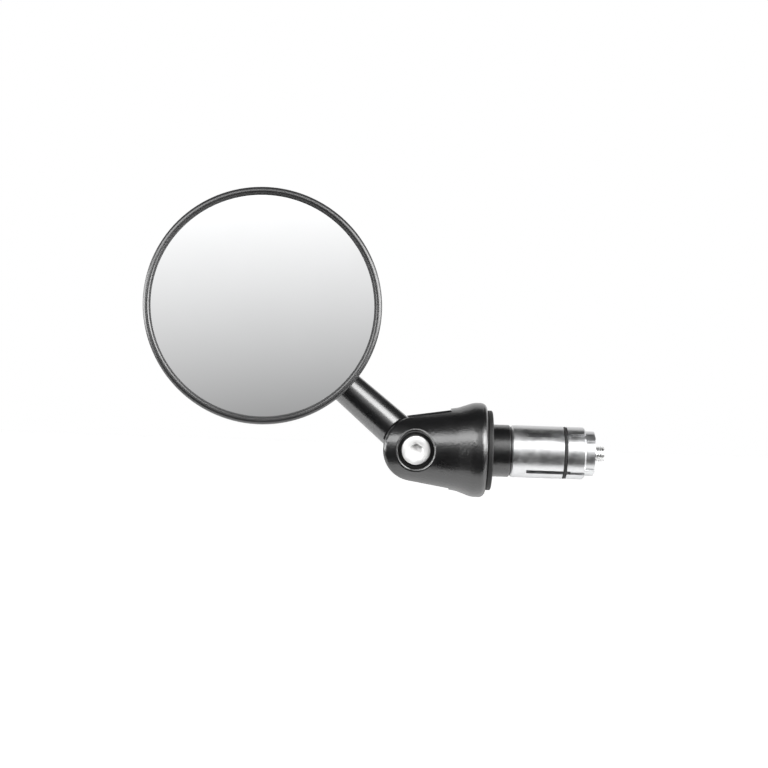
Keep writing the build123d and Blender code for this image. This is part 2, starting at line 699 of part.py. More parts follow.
with BuildPart() as draw_bolt:
    with BuildSketch(Plane.YZ.offset(draw_head_start)):
        Circle(DRAW_HEAD_DIAMETER / 2)
    extrude(amount=DRAW_HEAD_HEIGHT)
    chamfer(draw_bolt.edges().sort_by(Axis.X)[0], DRAW_HEAD_CHAMFER)
    with BuildSketch(Plane.YZ.offset(draw_washer_start)):
        Circle(draw_radius)
    extrude(amount=DRAW_BOLT_LENGTH)
    chamfer(draw_bolt.edges().sort_by(Axis.X)[-1], SCREW_TIP_CHAMFER)
    with BuildSketch(Plane.YZ.offset(draw_head_start)):
        RegularPolygon(DRAW_KEY_SIZE / 2, 6, major_radius=False)
    extrude(amount=DRAW_KEY_DEPTH, mode=Mode.SUBTRACT)

with BuildPart() as draw_bolt_washer:
    with BuildSketch(Plane.YZ.offset(draw_washer_start)):
        Circle(DRAW_HEAD_DIAMETER / 2 + DRAW_WASHER_LIP)
        Circle(draw_hole_radius, mode=Mode.SUBTRACT)
    extrude(amount=DRAW_WASHER_THICKNESS)

# Each piece is written under its own name
pieces = {
    "bar_end_body": bar_end_body,
    "bar_end_washer": bar_end_washer,
    "mirror_stem": mirror_stem,
    "pivot_bush": pivot_bush,
    "friction_washer_front": friction_washer_front,
    "friction_washer_rear": friction_washer_rear,
    "pivot_screw": pivot_screw,
    "pivot_nut": pivot_nut,
    "mirror_housing": mirror_housing,
    "inner_ball_seat": inner_ball_seat,
    "outer_ball_seat": outer_ball_seat,
    "seat_spring": seat_spring,
    "gland_nut": gland_nut,
    "mirror_glass": mirror_glass,
    "glass_tape_ring": glass_tape_ring,
    "bezel_ring": bezel_ring,
    "expander_sleeve": expander_sleeve,
    "sleeve_ring": sleeve_ring,
    "cone_nut": cone_nut,
    "draw_bolt": draw_bolt,
    "draw_bolt_washer": draw_bolt_washer,
}
os.makedirs("parts", exist_ok=True)
for name, piece in pieces.items():
    piece.part.label = name
    export_step(piece.part, f"parts/{name}.step")
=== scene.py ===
"""Looks of a bar end mirror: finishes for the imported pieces, threaded screws, bent glass and a studio."""
import json
from math import cos, radians, sin

import bpy
import numpy as np
from bpy.props import FloatProperty, FloatVectorProperty, IntProperty, PointerProperty
from bpy.types import Operator, Panel, PropertyGroup
from mathutils import Matrix, Vector


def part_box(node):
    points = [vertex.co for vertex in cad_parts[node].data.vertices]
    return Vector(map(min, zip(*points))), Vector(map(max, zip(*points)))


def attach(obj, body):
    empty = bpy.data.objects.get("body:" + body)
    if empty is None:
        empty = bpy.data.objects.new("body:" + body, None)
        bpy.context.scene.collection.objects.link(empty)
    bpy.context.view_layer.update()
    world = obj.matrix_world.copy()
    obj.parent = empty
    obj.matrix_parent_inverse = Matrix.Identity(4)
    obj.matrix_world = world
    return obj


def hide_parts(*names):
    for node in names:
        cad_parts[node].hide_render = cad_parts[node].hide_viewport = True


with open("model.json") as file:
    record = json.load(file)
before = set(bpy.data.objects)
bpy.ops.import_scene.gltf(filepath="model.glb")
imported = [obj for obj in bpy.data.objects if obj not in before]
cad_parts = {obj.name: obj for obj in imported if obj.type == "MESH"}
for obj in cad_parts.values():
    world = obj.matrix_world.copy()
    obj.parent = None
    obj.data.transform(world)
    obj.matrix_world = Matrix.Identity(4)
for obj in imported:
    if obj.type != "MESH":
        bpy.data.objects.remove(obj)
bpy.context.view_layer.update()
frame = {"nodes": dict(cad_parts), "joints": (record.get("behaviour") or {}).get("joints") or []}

bl_info = {
    "name": "Bar End Mirror",
    "version": (1, 0, 0),
    "blender": (4, 5, 0),
    "location": "View3D > Sidebar > Bar End Mirror",
    "description": "Finishes, threaded screws, bent glass and a studio for a bar end mirror",
    "category": "Object",
}

MM = 0.001
NODES = frame["nodes"]
GRAIN_DEPTH = 0.1  # depth of a grain in the paint over its width
COAT_IOR = 1.6
COAT_GLOSS = 0.7  # roughness of the clear coat over the paint's
RIM_LEAN = 0.97  # sine of the lean at the edges of the rim's bead
RIM_FADE = (0.75 * MM, 0.5 * MM)  # depths behind the front between which the bead's lay sets in
JOINT_WIDTH = (0.35 * MM, 0.6 * MM)  # widths between which the matt joint beside the glass ends
JOINT_DEPTH = (2.0 * MM, 1.6 * MM)  # depths behind the front between which the joint sets in


def colour_property(name, description, default):
    """A colour that the user may change."""
    return FloatVectorProperty(
        name=name, description=description, subtype="COLOR", size=3, min=0.0, max=1.0, default=default
    )


def length_property(name, description, millimetres):
    """A length that the user may change, given here in millimetres."""
    return FloatProperty(
        name=name, description=description, subtype="DISTANCE", unit="LENGTH", default=millimetres * MM
    )


class BARMIRROR_PG_finish(PropertyGroup):
    """Colours and gloss of the finishes."""

    body_colour: colour_property("Body", "Grained black paint of the bar end body", (0.003, 0.003, 0.0032))
    stem_colour: colour_property(
        "Stem", "Smooth black paint of the stem and the gland nut", (0.005, 0.005, 0.0053)
    )
    rim_colour: colour_property(
        "Rim", "Dark anodising of the housing and the ring around the glass", (0.014, 0.014, 0.0146)
    )
    silver_colour: colour_property("Silvering", "Tint of the silvered glass", (0.93, 0.935, 0.94))
    steel_colour: colour_property("Steel", "Bright stainless screws", (0.82, 0.82, 0.815))
    alloy_colour: colour_property("Alloy", "Bare turned aluminium of the plug", (0.68, 0.685, 0.69))
    rubber_colour: colour_property("Rubber", "Black rubber of the washer and the ring", (0.008, 0.008, 0.008))
    nylon_colour: colour_property("Nylon", "Friction washers and ball seats", (0.62, 0.6, 0.54))
    body_roughness: FloatProperty(
        name="Body roughness", description="Roughness of the grained paint", min=0.0, max=1.0, default=0.3
    )
    stem_roughness: FloatProperty(
        name="Stem roughness", description="Roughness of the smooth paint", min=0.0, max=1.0, default=0.29
    )
    rim_roughness: FloatProperty(
        name="Rim roughness", description="Roughness of the anodising", min=0.0, max=1.0, default=0.33
    )
    grain: length_property("Grain", "Width of a grain in the body's paint", 0.8)
    glass_curve: length_property("Glass curve", "Radius of the glass's shallow dome", 800.0)


class BARMIRROR_PG_screws(PropertyGroup):
    """Sizes of the two threaded screws."""

    shank_radius: length_property("Shank radius", "Outside radius of the thread", 2.5)
    pitch: length_property("Pitch", "Distance between turns of the thread", 0.8)
    thread_depth: length_property("Thread depth", "Depth of the thread's groove", 0.42)
    key_size: length_property("Key", "Width across the flats of the key's socket", 4.0)
    pivot_head: length_property("Pivot head", "Height of the pivot screw's head", 3.0)
    pivot_key_depth: length_property("Pivot key depth", "Depth of the pivot screw's socket", 1.8)
    pivot_thread: length_property("Pivot thread", "Threaded length of the pivot screw", 5.0)
    bolt_head: length_property("Bolt head", "Height of the draw bolt's head", 5.0)
    bolt_key_depth: length_property("Bolt key depth", "Depth of the draw bolt's socket", 2.5)
    bolt_thread: length_property("Bolt thread", "Threaded length of the draw bolt", 22.0)
    around: IntProperty(name="Around", description="Points around a screw", min=24, max=180, default=72)


class BARMIRROR_PG_stage(PropertyGroup):
    """The floor, the light and the camera."""

    floor_drop: length_property("Floor drop", "Height of the origin above the floor", 360.0)
    floor_colour: colour_property("Floor", "Pale floor", (0.82, 0.82, 0.82))
    lamp_distance: length_property("Lamp distance", "Distance of the lamps", 1200.0)
    lamp_share: FloatProperty(
        name="Lamps", description="Share of the lamps' power", min=0.0, max=4.0, default=1.0
    )
    camera_place: FloatVectorProperty(
        name="Camera", description="Place of the camera", subtype="TRANSLATION", unit="LENGTH", size=3,
        default=(-0.0344, -0.500, 0.0457),
    )
    camera_yaw: FloatProperty(
        name="Camera yaw", description="Turn of the camera to the right",
        subtype="ANGLE", unit="ROTATION", default=radians(-0.15),
    )
    camera_pitch: FloatProperty(
        name="Camera pitch", description="Lift of the camera's view",
        subtype="ANGLE", unit="ROTATION", default=radians(-2.88),
    )
    camera_roll: FloatProperty(
        name="Camera roll", description="Roll of the camera",
        subtype="ANGLE", unit="ROTATION", default=radians(1.91),
    )
    half_view: FloatProperty(
        name="Half view", description="Half of the camera's angle of view",
        subtype="ANGLE", unit="ROTATION", default=radians(14.05),
    )


def empty_tree(owner):
    """The node tree of a material or a world, cleared."""
    owner.use_nodes = True
    owner.node_tree.nodes.clear()
    return owner.node_tree


def new_material(name):
    """A new material, returned with its tree and its shader."""
    material = bpy.data.materials.new(name)
    tree = empty_tree(material)
    output = tree.nodes.new("ShaderNodeOutputMaterial")
    shader = tree.nodes.new("ShaderNodeBsdfPrincipled")
    tree.links.new(shader.outputs["BSDF"], output.inputs["Surface"])
    return material, tree, shader


def add_node(tree, kind, settings=None, sockets=None):
    """A new node with the given settings and the given values on its sockets."""
    node = tree.nodes.new(kind)
    for key, value in (settings or {}).items():
        setattr(node, key, value)
    for key, value in (sockets or {}).items():
        node.inputs[key].default_value = value
    return node


def feed(tree, value, socket):
    """Link another node's socket to a socket, or set a constant on it."""
    if isinstance(value, bpy.types.NodeSocket):
        tree.links.new(value, socket)
    else:
        socket.default_value = value


def number_math(tree, operation, *values):
    """A calculation on numbers that are sockets or constants."""
    node = add_node(tree, "ShaderNodeMath", {"operation": operation})
    for value, socket in zip(values, node.inputs):
        feed(tree, value, socket)
    return node.outputs["Value"]


def vector_math(tree, operation, *values):
    """A calculation on vectors that are sockets or constants."""
    node = add_node(tree, "ShaderNodeVectorMath", {"operation": operation})
    for value, socket in zip(values, node.inputs):
        feed(tree, value, socket)
    return node.outputs["Value" if operation in ("DOT_PRODUCT", "LENGTH") else "Vector"]


def scale_vector(tree, vector, factor):
    """A vector times a number."""
    node = add_node(tree, "ShaderNodeVectorMath", {"operation": "SCALE"})
    feed(tree, vector, node.inputs["Vector"])
    feed(tree, factor, node.inputs["Scale"])
    return node.outputs["Vector"]


def object_place(tree, centre=(0.0, 0.0, 0.0)):
    """Object coordinates, moved so that a pattern is centred on a point."""
    coordinates = tree.nodes.new("ShaderNodeTexCoord")
    mapping = add_node(tree, "ShaderNodeMapping", sockets={"Location": [-value for value in centre]})
    tree.links.new(coordinates.outputs["Object"], mapping.inputs["Vector"])
    return mapping.outputs["Vector"]


def add_noise(tree, place, size, detail=3.0, roughness=0.55):
    """Noise whose cells are about the given size."""
    noise = add_node(
        tree, "ShaderNodeTexNoise", sockets={"Scale": 1.0 / size, "Detail": detail, "Roughness": roughness}
    )
    tree.links.new(place, noise.inputs["Vector"])
    return noise.outputs["Fac"]


def spread(tree, value, low, high, start=0.3, end=0.7):
    """Carry a value from its usual span to the span from low to high."""
    node = add_node(
        tree, "ShaderNodeMapRange",
        sockets={"From Min": start, "From Max": end, "To Min": low, "To Max": high},
    )
    tree.links.new(value, node.inputs["Value"])
    return node.outputs["Result"]


def two_tones(tree, value, first, second):
    """Mix two colours by a value."""
    ramp = tree.nodes.new("ShaderNodeValToRGB")
    ramp.color_ramp.elements[0].position = 0.32
    ramp.color_ramp.elements[0].color = (*first, 1.0)
    ramp.color_ramp.elements[1].position = 0.68
    ramp.color_ramp.elements[1].color = (*second, 1.0)
    tree.links.new(value, ramp.inputs["Fac"])
    return ramp.outputs["Color"]


def add_bump(tree, shader, height, depth, strength):
    """Bump the surface by a height and return the node."""
    bump = add_node(tree, "ShaderNodeBump", sockets={"Strength": strength, "Distance": depth})
    tree.links.new(height, bump.inputs["Height"])
    tree.links.new(bump.outputs["Normal"], shader.inputs["Normal"])
    return bump


def scaled(colour, factor):
    """A colour made darker or lighter."""
    return tuple(value * factor for value in colour)


def paint_material(name, colour, roughness, grain, strength, gloss_level, coat, lay=None):
    """Dark paint or anodising: fine grains as bump, with gloss and tone that drift slowly.

    A lay, where one is given, changes the direction that the bump starts from.
    """
    material, tree, shader = new_material(name)
    place = object_place(tree)
    grains = add_noise(tree, place, grain, 2.0)
    drift = add_noise(tree, place, 9 * MM, 2.0)
    tone = two_tones(tree, drift, scaled(colour, 0.82), scaled(colour, 1.2))
    tree.links.new(tone, shader.inputs["Base Color"])
    gloss = spread(tree, drift, roughness - 0.03, roughness + 0.03)
    tree.links.new(gloss, shader.inputs["Roughness"])
    bump = add_bump(tree, shader, grains, GRAIN_DEPTH * grain, strength)
    if lay:
        lay(tree, shader, bump)
    shader.inputs["Specular IOR Level"].default_value = gloss_level
    shader.inputs["Coat Weight"].default_value = coat
    shader.inputs["Coat IOR"].default_value = COAT_IOR
    shader.inputs["Coat Roughness"].default_value = roughness * COAT_GLOSS
    return material


def steel_material(name, colour, roughness, centre, axis, metal=1.0):
    """Turned steel: fine rings about the piece's own axis, with a little haze."""
    material, tree, shader = new_material(name)
    place = object_place(tree, centre)
    rings = add_node(
        tree, "ShaderNodeTexWave",
        {"wave_type": "RINGS", "rings_direction": axis},
        {"Scale": 150.0, "Distortion": 0.6, "Detail": 1.0},
    )
    tree.links.new(place, rings.inputs["Vector"])
    haze = add_noise(tree, place, 1.6 * MM)
    tone = two_tones(tree, haze, scaled(colour, 0.93), colour)
    tree.links.new(tone, shader.inputs["Base Color"])
    gloss = spread(tree, haze, roughness - 0.05, roughness + 0.07)
    tree.links.new(gloss, shader.inputs["Roughness"])
    add_bump(tree, shader, rings.outputs["Fac"], 0.004 * MM, 0.5)
    shader.inputs["Metallic"].default_value = metal
    return material


def alloy_material(name, colour):
    """Bare aluminium turned along the bar: fine bands as bump under a soft haze."""
    material, tree, shader = new_material(name)
    place = object_place(tree)
    bands = add_node(
        tree, "ShaderNodeTexWave",
        {"wave_type": "BANDS", "bands_direction": "X"},
        {"Scale": 170.0, "Distortion": 0.4, "Detail": 1.0},
    )
    tree.links.new(place, bands.inputs["Vector"])
    haze = add_noise(tree, place, 2.5 * MM)
    tone = two_tones(tree, haze, scaled(colour, 0.9), colour)
    tree.links.new(tone, shader.inputs["Base Color"])
    gloss = spread(tree, haze, 0.28, 0.4)
    tree.links.new(gloss, shader.inputs["Roughness"])
    add_bump(tree, shader, bands.outputs["Fac"], 0.008 * MM, 0.6)
    shader.inputs["Metallic"].default_value = 1.0
    return material


def glass_material(name, colour):
    """Silvered glass: a clean mirror with the faintest haze."""
    material, tree, shader = new_material(name)
    place = object_place(tree)
    haze = add_noise(tree, place, 14 * MM, 2.0)
    tone = two_tones(tree, haze, scaled(colour, 0.99), colour)
    tree.links.new(tone, shader.inputs["Base Color"])
    gloss = spread(tree, haze, 0.008, 0.02)
    tree.links.new(gloss, shader.inputs["Roughness"])
    shader.inputs["Metallic"].default_value = 1.0
    return material


def soft_material(name, colour, roughness, grain, strength):
    """Rubber, foam or nylon: a matt surface with fine grain and a slow drift of tone."""
    material, tree, shader = new_material(name)
    place = object_place(tree)
    grains = add_noise(tree, place, grain, 3.0)
    drift = add_noise(tree, place, 5 * MM, 2.0)
    tone = two_tones(tree, drift, scaled(colour, 0.85), scaled(colour, 1.12))
    tree.links.new(tone, shader.inputs["Base Color"])
    gloss = spread(tree, grains, roughness - 0.06, roughness + 0.06)
    tree.links.new(gloss, shader.inputs["Roughness"])
    add_bump(tree, shader, grains, 0.03 * MM, strength)
    return material


def dress(material, *names):
    """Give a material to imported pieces."""
    for name in names:
        piece = NODES[name]
        piece.data.materials.clear()
        piece.data.materials.append(material)


def surface_piece(name, vertices, faces, material, sharp_angle):
    """A mesh object at the origin from arrays of points and faces."""
    mesh = bpy.data.meshes.new(name)
    mesh.from_pydata(vertices.tolist(), [], faces)
    mesh.polygons.foreach_set("use_smooth", np.ones(len(mesh.polygons), dtype=bool))
    mesh.set_sharp_from_angle(angle=sharp_angle)
    mesh.update()
    mesh.materials.append(material)
    piece = bpy.data.objects.new(name, mesh)
    bpy.context.scene.collection.objects.link(piece)
    return piece


def thread_groove(along, turn, pitch):
    """Depth of the groove from 0 on the crest to 1 at the root.

    The phase is the distance along the screw in pitches less the turn; the groove is a wedge
    between a crest an eighth of a pitch wide and a root a quarter of a pitch wide.
    """
    phase = np.mod(along / pitch - turn / (2 * np.pi), 1.0)
    from_crest = 0.5 - np.abs(phase - 0.5)
    return np.clip((from_crest - 1 / 16) / (0.5 - 1 / 16 - 1 / 8), 0.0, 1.0)


def socket_screw(name, face, direction, head_radius, length, head, key_depth, thread, sizes, material):
    """A socket head screw as one closed surface on a grid of rings.

    Each ring is a distance along the axis and a radius for each turn of the grid. The rings run
    from the floor of the hexagonal socket up its walls, over the face and the head, down the
    shank and along the thread, whose radius is the shank's less the groove, to the tip.
    """
    count = sizes.around
    turn = np.arange(count) * 2 * np.pi / count
    shank = sizes.shank_radius
    flat = sizes.key_size / 2
    hexagon = flat / np.cos(np.mod(turn, np.pi / 3) - np.pi / 6)
    mouth = flat / cos(radians(30)) * 1.03
    edge = 0.2 * MM
    small = 0.12 * MM
    one = np.ones(count)
    rings = [
        (key_depth + 0.15 * MM, hexagon * 0.5),
        (key_depth, hexagon * 0.96),
        (key_depth - small, hexagon),
        (0.3 * MM, hexagon),
        (0.03 * MM, mouth * one),
        (0.0, (mouth + 0.05 * MM) * one),
        (0.0, (head_radius - edge - 0.05 * MM) * one),
        (0.03 * MM, (head_radius - edge) * one),
        (edge, head_radius * one),
        (head - small, head_radius * one),
        (head, (head_radius - small) * one),
        (head, (shank + small) * one),
        (head + small, shank * one),
    ]
    along = np.array([place for place, _ in rings])[:, None] * one
    radius = np.stack([ring for _, ring in rings])
    steps = int(thread / sizes.pitch * 12)
    start = length - thread
    thread_along = np.linspace(start, length, steps)[:, None] * one
    run_in = np.clip((thread_along - start) / (1.5 * sizes.pitch), 0.0, 1.0)
    groove = thread_groove(thread_along, turn, sizes.pitch) * run_in
    tip = shank - np.clip(thread_along - (length - 0.5 * MM), 0.0, None)
    thread_radius = np.minimum(shank - sizes.thread_depth * groove, tip)
    along = np.concatenate([along, thread_along])
    radius = np.concatenate([radius, thread_radius])
    axis = np.array(direction, dtype=float)
    first = np.array((0.0, 0.0, 1.0))
    second = np.cross(axis, first)
    points = (
        np.array(face)
        + along[..., None] * axis
        + (radius * np.cos(turn))[..., None] * first
        + (radius * np.sin(turn))[..., None] * second
    )
    poles = [np.array(face) + (key_depth + 0.35 * MM) * axis, np.array(face) + length * axis]
    vertices, faces = closed_rings(points, poles)
    return surface_piece(name, vertices, faces, material, radians(32))


def head_frame():
    """Centre of the ball, directions of the stem, of the glass's facing and across, from the joints."""
    joints = {joint["name"]: joint for joint in frame["joints"]}
    centre = np.array(joints["head_swivel"]["pos_m"])
    along = np.array(joints["head_swivel"]["axis"])
    across = np.array(joints["head_tilt"]["axis"])
    return centre, along, np.cross(across, along), across


def node_points(name):
    """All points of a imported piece."""
    mesh = NODES[name].data
    points = np.empty(len(mesh.vertices) * 3)
    mesh.vertices.foreach_get("co", points)
    return points.reshape(-1, 3)


def head_spans(name):
    """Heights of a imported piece's points along the glass's facing and their distances from its axis."""
    centre, _, facing, _ = head_frame()
    points = node_points(name) - centre
    heights = points @ facing
    return heights, np.linalg.norm(points - heights[:, None] * facing, axis=1)


def rim_lay(tree, shader, bump):
    """Lay of the light on the head's front rim, as on one half-round bead with a matt joint at the glass.

    The lean from the glass's facing is the distance from the middle of the bead over its half width.
    Behind the front edge the surface's own lay stays.
    """
    centre, _, facing, _ = head_frame()
    heights, distances = head_spans("mirror_housing")
    front = heights.max()
    outer = distances.max()
    inner = head_spans("bezel_ring")[1].min()
    axis = tuple(facing)
    place = object_place(tree, centre)
    height = vector_math(tree, "DOT_PRODUCT", place, axis)
    flat = vector_math(tree, "SUBTRACT", place, scale_vector(tree, axis, height))
    distance = vector_math(tree, "LENGTH", flat)
    lean = spread(tree, distance, -RIM_LEAN, RIM_LEAN, inner, outer)
    upright = number_math(tree, "COSINE", number_math(tree, "ARCSINE", lean))
    spoke = vector_math(tree, "NORMALIZE", flat)
    bead = vector_math(tree, "ADD", scale_vector(tree, spoke, lean), scale_vector(tree, axis, upright))
    turned = add_node(
        tree, "ShaderNodeVectorTransform",
        {"vector_type": "NORMAL", "convert_from": "OBJECT", "convert_to": "WORLD"},
    )
    tree.links.new(bead, turned.inputs["Vector"])
    own = tree.nodes.new("ShaderNodeNewGeometry")
    at_front = spread(tree, height, 0.0, 1.0, front - RIM_FADE[0], front - RIM_FADE[1])
    mix = add_node(tree, "ShaderNodeMix", {"data_type": "VECTOR"})
    tree.links.new(at_front, mix.inputs[0])
    tree.links.new(own.outputs["Normal"], mix.inputs[4])
    tree.links.new(turned.outputs["Vector"], mix.inputs[5])
    tree.links.new(mix.outputs[1], bump.inputs["Normal"])
    by_glass = spread(tree, distance, 1.0, 0.0, inner + JOINT_WIDTH[0], inner + JOINT_WIDTH[1])
    forward = spread(tree, height, 0.0, 1.0, front - JOINT_DEPTH[0], front - JOINT_DEPTH[1])
    joint = number_math(tree, "MULTIPLY", by_glass, forward)
    gloss = shader.inputs["Roughness"].links[0].from_socket
    tree.links.new(number_math(tree, "MAXIMUM", gloss, joint), shader.inputs["Roughness"])


def bent_glass(name, curve_radius, rings, count, material):
    """The mirror glass as one closed surface on a grid of rings.

    The front is a shallow dome: its height falls by the curve's radius less the root of the radius
    squared less the distance squared. The back is the same dome a glass's thickness lower, and the
    edge between them is ground to a small round.
    """
    centre, along, facing, across = head_frame()
    heights, distances = head_spans("mirror_glass")
    reach = distances.max()
    top = heights.max()
    fall = curve_radius - np.sqrt(curve_radius**2 - reach**2)
    thickness = top - heights.min() - fall
    ground = 0.25 * MM
    out = np.linspace(0.0, reach - ground, rings + 1)[1:]
    dome = top - (curve_radius - np.sqrt(curve_radius**2 - out**2))
    bend = np.linspace(0.0, np.pi / 2, 5)[1:]
    edge_out = reach - ground * (1 - np.sin(bend))
    edge_up = top - fall - ground * (1 - np.cos(bend))
    radius = np.concatenate([out, edge_out, edge_out[::-1], out[::-1]])
    edge_down = 2 * (top - fall) - edge_up[::-1] - thickness
    height = np.concatenate([dome, edge_up, edge_down, dome[::-1] - thickness])
    turn = np.arange(count) * 2 * np.pi / count
    spokes = np.cos(turn)[:, None] * along + np.sin(turn)[:, None] * across
    grid = centre + height[:, None, None] * facing + radius[:, None, None] * spokes
    poles = [centre + top * facing, centre + (top - thickness) * facing]
    vertices, faces = closed_rings(grid, poles)
    return surface_piece(name, vertices, faces, material, radians(60))


def closed_rings(grid, poles):
    """Points and faces of a surface on a grid of rings that ends in a pole at each end."""
    ring_count, count = grid.shape[:2]
    vertices = np.concatenate([grid.reshape(-1, 3), poles])
    here = np.arange(count)
    after = (here + 1) % count
    base = np.arange(ring_count - 1)[:, None] * count
    quads = np.stack([base + here, base + after, base + count + after, base + count + here], axis=-1)
    first = np.stack([np.full(count, ring_count * count), after, here], axis=-1)
    last = (ring_count - 1) * count
    end = np.stack([np.full(count, ring_count * count + 1), last + here, last + after], axis=-1)
    return vertices, quads.reshape(-1, 4).tolist() + first.tolist() + end.tolist()


class BARMIRROR_OT_bar_end(Operator):
    """Paint the bar end body with finely grained satin black and blacken its rubber washer"""

    bl_idname = "barmirror.bar_end"
    bl_label = "Bar End Body"

    def execute(self, context):
        finish = context.scene.barmirror_finish
        paint = paint_material(
            "grained_black_paint", finish.body_colour, finish.body_roughness, finish.grain, 1.0, 0.8, 0.45
        )
        dress(paint, "bar_end_body")
        rubber = soft_material("washer_rubber", finish.rubber_colour, 0.6, 0.4 * MM, 0.3)
        dress(rubber, "bar_end_washer", "sleeve_ring")
        return {"FINISHED"}


class BARMIRROR_OT_stem(Operator):
    """Paint the stem in smooth satin black"""

    bl_idname = "barmirror.stem"
    bl_label = "Stem"

    def execute(self, context):
        finish = context.scene.barmirror_finish
        paint = paint_material(
            "smooth_black_paint", finish.stem_colour, finish.stem_roughness, 0.5 * MM, 0.03, 1.0, 1.0
        )
        dress(paint, "mirror_stem")
        return {"FINISHED"}


class BARMIRROR_OT_head(Operator):
    """Paint the mirror's housing, its gland nut and the ring around the glass"""

    bl_idname = "barmirror.head"
    bl_label = "Mirror Head"

    def execute(self, context):
        finish = context.scene.barmirror_finish
        housing = paint_material(
            "housing_anodised", finish.rim_colour, finish.rim_roughness, 0.5 * MM, 0.01, 1.0, 0.0, rim_lay
        )
        dress(housing, "mirror_housing", "bezel_ring")
        gland = paint_material(
            "gland_paint", finish.stem_colour, finish.stem_roughness, 0.5 * MM, 0.03, 1.0, 1.0
        )
        dress(gland, "gland_nut")
        return {"FINISHED"}


class BARMIRROR_OT_glass(Operator):
    """Silver the glass and give its tape a foam finish"""

    bl_idname = "barmirror.glass"
    bl_label = "Mirror Glass"

    def execute(self, context):
        finish = context.scene.barmirror_finish
        silver = glass_material("silvered_glass", finish.silver_colour)
        glass = bent_glass("bent_mirror_glass", finish.glass_curve, 48, 144, silver)
        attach(glass, "head")
        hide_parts("mirror_glass")
        dress(soft_material("tape_foam", (0.03, 0.03, 0.03), 0.8, 0.5 * MM, 0.8), "glass_tape_ring")
        return {"FINISHED"}


class BARMIRROR_OT_pivot(Operator):
    """Make the pivot screw with its thread, and finish the nut, the bush and the friction washers"""

    bl_idname = "barmirror.pivot"
    bl_label = "Pivot"

    def execute(self, context):
        finish = context.scene.barmirror_finish
        sizes = context.scene.barmirror_screws
        low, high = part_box("pivot_screw")
        centre = ((low[0] + high[0]) / 2, 0.0, (low[2] + high[2]) / 2)
        steel = steel_material("pivot_steel", finish.steel_colour, 0.55, centre, "Y", 0.75)
        screw = socket_screw(
            "pivot_screw_threaded", (centre[0], low[1], centre[2]), (0, 1, 0), (high[0] - low[0]) / 2,
            high[1] - low[1], sizes.pivot_head, sizes.pivot_key_depth, sizes.pivot_thread, sizes, steel,
        )
        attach(screw, "bar_end")
        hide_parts("pivot_screw")
        dress(steel, "pivot_nut")
        bronze = steel_material("bush_bronze", (0.6, 0.42, 0.2), 0.32, centre, "Y")
        dress(bronze, "pivot_bush")
        nylon = soft_material("nylon", finish.nylon_colour, 0.5, 0.6 * MM, 0.15)
        dress(nylon, "friction_washer_front", "friction_washer_rear", "inner_ball_seat", "outer_ball_seat")
        return {"FINISHED"}


class BARMIRROR_OT_plug(Operator):
    """Make the draw bolt with its thread, and finish the sleeve, the cone nut, the washer and the spring"""

    bl_idname = "barmirror.plug"
    bl_label = "Expanding Plug"

    def execute(self, context):
        finish = context.scene.barmirror_finish
        sizes = context.scene.barmirror_screws
        low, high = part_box("draw_bolt")
        steel = steel_material("bolt_steel", finish.steel_colour, 0.3, (0.0, 0.0, 0.0), "X")
        bolt = socket_screw(
            "draw_bolt_threaded", (low[0], 0.0, 0.0), (1, 0, 0), (high[1] - low[1]) / 2,
            high[0] - low[0], sizes.bolt_head, sizes.bolt_key_depth, sizes.bolt_thread, sizes, steel,
        )
        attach(bolt, "draw_bolt")
        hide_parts("draw_bolt")
        dress(steel, "draw_bolt_washer", "seat_spring")
        alloy = alloy_material("turned_alloy", finish.alloy_colour)
        dress(alloy, "expander_sleeve", "cone_nut")
        return {"FINISHED"}


def stage_surface(name, corners, material):
    """A flat stage piece from its corners."""
    mesh = bpy.data.meshes.new(name)
    mesh.from_pydata(corners, [], [tuple(range(len(corners)))])
    mesh.materials.append(material)
    piece = bpy.data.objects.new(name, mesh)
    bpy.context.scene.collection.objects.link(piece)


def floor_material(colour):
    """Pale floor that takes shadows; seen directly it is lifted to the backdrop's white."""
    material = bpy.data.materials.new("pale_floor")
    tree = empty_tree(material)
    output = tree.nodes.new("ShaderNodeOutputMaterial")
    diffuse = tree.nodes.new("ShaderNodeBsdfDiffuse")
    place = object_place(tree)
    drift = add_noise(tree, place, 0.2, 2.0)
    tone = two_tones(tree, drift, scaled(colour, 0.98), colour)
    tree.links.new(tone, diffuse.inputs["Color"])
    glow = add_node(tree, "ShaderNodeEmission", sockets={"Color": (1, 1, 1, 1), "Strength": 0.8})
    both = tree.nodes.new("ShaderNodeAddShader")
    tree.links.new(diffuse.outputs["BSDF"], both.inputs[0])
    tree.links.new(glow.outputs["Emission"], both.inputs[1])
    mix = tree.nodes.new("ShaderNodeMixShader")
    tree.links.new(seen_rays(tree), mix.inputs["Fac"])
    tree.links.new(diffuse.outputs["BSDF"], mix.inputs[1])
    tree.links.new(both.outputs["Shader"], mix.inputs[2])
    tree.links.new(mix.outputs["Shader"], output.inputs["Surface"])
    return material


def seen_rays(tree):
    """One for rays straight from the camera."""
    return tree.nodes.new("ShaderNodeLightPath").outputs["Is Camera Ray"]


def grey_ramp(tree, value, stops):
    """A ramp of greys from places and brightnesses."""
    ramp = tree.nodes.new("ShaderNodeValToRGB")
    elements = ramp.color_ramp.elements
    elements[0].position, grey = stops[0]
    elements[0].color = (grey, grey, grey, 1.0)
    elements[1].position, grey = stops[-1]
    elements[1].color = (grey, grey, grey, 1.0)
    for place, grey in stops[1:-1]:
        elements.new(place).color = (grey, grey, grey, 1.0)
    tree.links.new(value, ramp.inputs["Fac"])
    return ramp.outputs["Color"]


